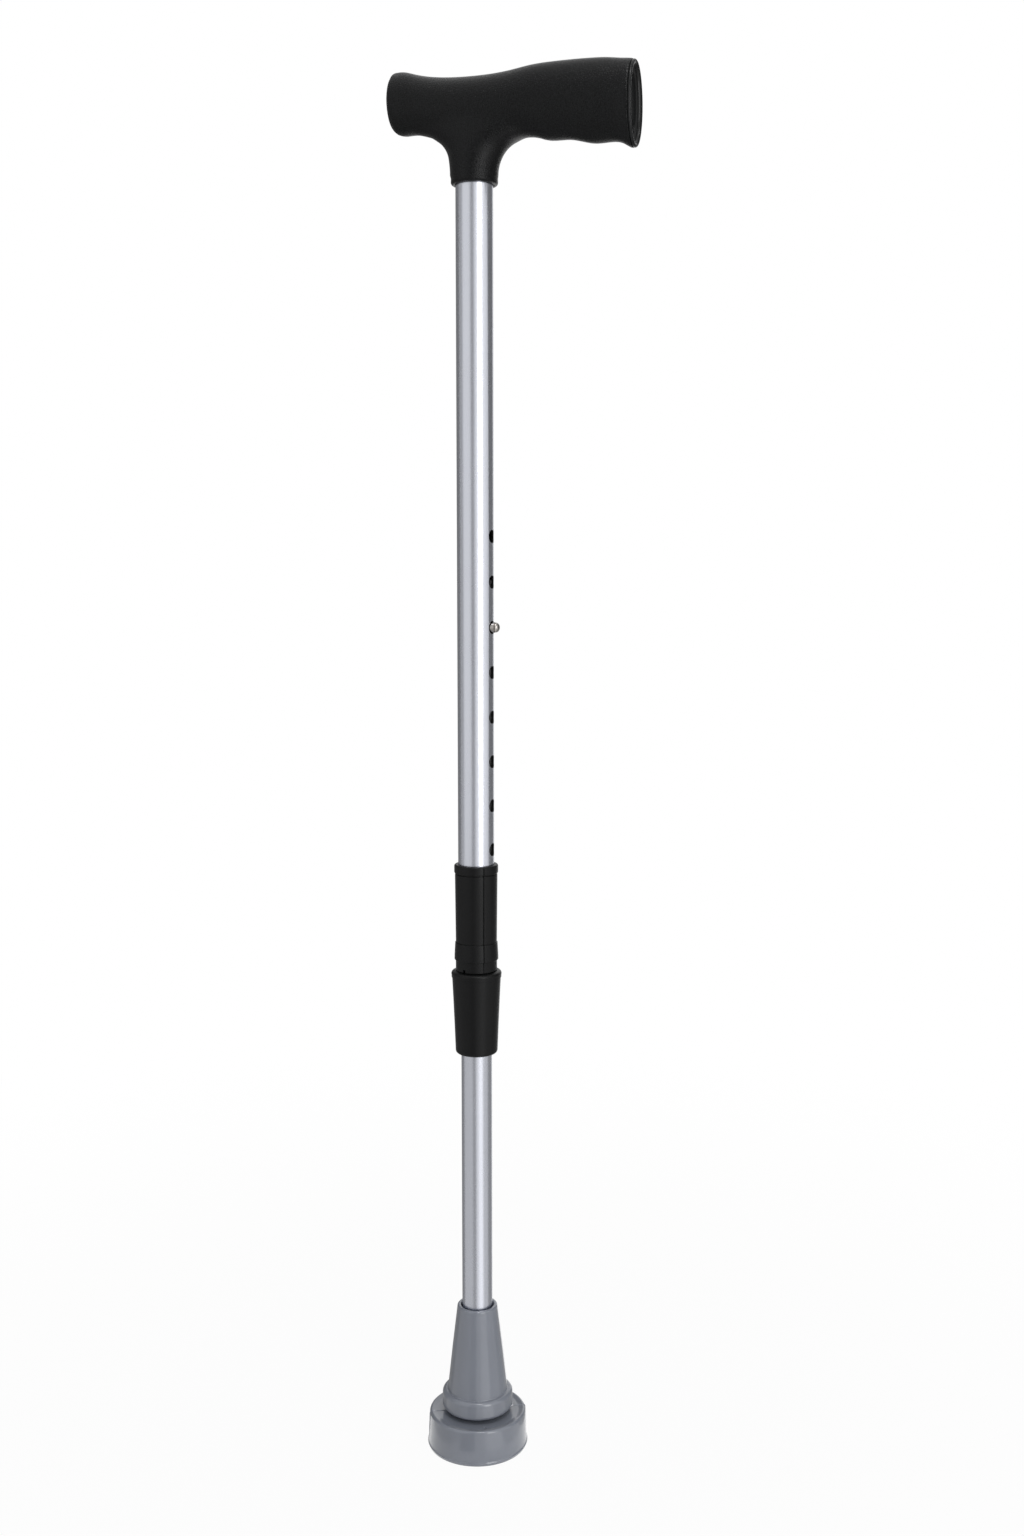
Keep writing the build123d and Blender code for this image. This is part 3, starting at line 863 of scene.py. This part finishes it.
nose_sections = ((-50.9, 60.5, 40.5, 8.5), (-50.2, 64.6, 36.8, 11.0), (-49.0, 66.6, 33.6, 12.4))
nose_sections += ((-47.4, 67.0, 32.1, 13.1), (-44.0, 66.6, 31.6, 13.2), (-30.0, 60.0, 36.0, 10.0))
bm = bmesh.new()
across_handle = Matrix.Rotation(math.pi / 2, 4, "Y")
rings = []
for along, top, low, half in nose_sections:
    place = Matrix.Translation((along * MM, 0, grip_low.z + (top + low) / 2 * MM)) @ across_handle
    rings.append(oval_ring(bm, place, (top - low) / 2 * MM, half * MM))
skin_rings(bm, rings)
nose = new_object("nose", bm)

bm = bmesh.new()
bm.from_mesh(nodes["handle_grip"].data)
bmesh.ops.remove_doubles(bm, verts=bm.verts, dist=0.001 * MM)
handle = new_object("handle", bm)
palm_cut_low = (palm_seam, -20 * MM, grip_low.z)
palm_cut_high = (palm_seam + 9 * MM, 20 * MM, grip_high.z + 9 * MM)
cut_away(handle, box_mesh(palm_cut_low, palm_cut_high))
for addition in (flare, nose):
    join = handle.modifiers.new("join", "BOOLEAN")
    join.operation = "UNION"
    join.solver = "EXACT"
    join.object = addition
    bake_modifiers(handle)
    bpy.data.objects.remove(addition)
socket_radius = 11.0 * MM
socket_long = 44 * MM
socket_middle = grip_low.z + 20.4 * MM
socket = bmesh.new()
bmesh.ops.create_cone(
    socket, cap_ends=True, segments=128, radius1=socket_radius, radius2=socket_radius, depth=socket_long
)
bmesh.ops.translate(socket, vec=(0, 0, socket_middle), verts=socket.verts)
cut_away(handle, socket)
remesh = handle.modifiers.new("remesh", "REMESH")
remesh.mode = "VOXEL"
remesh.voxel_size = remesh_size
bake_modifiers(handle)
clear_of_socket = 11.8 * MM
bm = bmesh.new()
bm.from_mesh(handle.data)
fillet_zone = [
    vert
    for vert in bm.verts
    if grip_low.z + 9 * MM < vert.co.z < grip_low.z + 38 * MM
    and math.hypot(vert.co.x, vert.co.y) > clear_of_socket
    and abs(vert.co.x) < 42 * MM
]
outside = [
    vert
    for vert in bm.verts
    if vert.co.z > grip_low.z + 3 * MM
    and vert.co.x < palm_seam - 1.5 * MM
    and math.hypot(vert.co.x, vert.co.y) > clear_of_socket
]
for zone, rounds in ((fillet_zone, 40), (outside, 2)):
    for _ in range(rounds):
        bmesh.ops.smooth_vert(bm, verts=zone, factor=0.5, use_axis_x=True, use_axis_y=True, use_axis_z=True)
bm.to_mesh(handle.data)
bm.free()
handle.data.shade_smooth()
handle.data.materials.clear()
handle.data.materials.append(grip_plastic.material)
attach(handle, "upper_shaft")
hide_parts("handle_grip")

# ---- palm end ----
# A smooth black oval let into the palm end: a rounded rim, a dished face and a sunk oval in
# its middle, glued into the handle.
gloss_plastic = Finish("black_smooth_plastic")
gloss_plastic.colour((0.0062, 0.0065, 0.0068), amount=0.2, scale=80.0)
gloss_plastic.rough(0.24, amount=0.12, scale=120.0)
gloss_plastic.set(Specular_IOR_Level=0.22)
gloss_plastic.grain(size=0.6 * MM, depth=0.003 * MM)
cap_low, cap_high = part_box("handle_end_cap")
palm_x = grip_high.x
palm_middle = (cap_low.z + cap_high.z) / 2
rim_wide = 13.45
rim_tall = 23.6
palm_rim_round = 1.05
rim_profile = [(3.4, -9.2), (2.9, -4.0), (1.0, -2.2), (0.3, -1.75)]
rim_profile += [
    (palm_rim_round * (1 - math.cos(turn)), palm_rim_round * (math.sin(turn) - 1))
    for turn in (math.radians(degrees) for degrees in range(0, 91, 15))
]
rim_profile += [(1.9, -0.15), (2.5, -0.5), (2.8, -1.2), (3.1, -1.6), (5.0, -1.9), (6.9, -2.1)]
rim_profile += [(7.2, -2.25), (7.35, -3.0), (7.7, -3.2), (10.0, -3.3)]
bm = bmesh.new()
rings = [
    oval_ring(
        bm,
        Matrix.Translation((palm_x + along * MM, 0, palm_middle)) @ across_handle,
        (rim_tall - inset) * MM,
        (rim_wide - inset) * MM,
    )
    for inset, along in rim_profile
]
skin_rings(bm, rings)
palm_cap = new_object("palm_cap", bm)
palm_cap.data.materials.append(gloss_plastic.material)
even_normals(palm_cap)
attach(palm_cap, "upper_shaft")
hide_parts("handle_end_cap")

# ---- final update ----
bpy.context.view_layer.update()
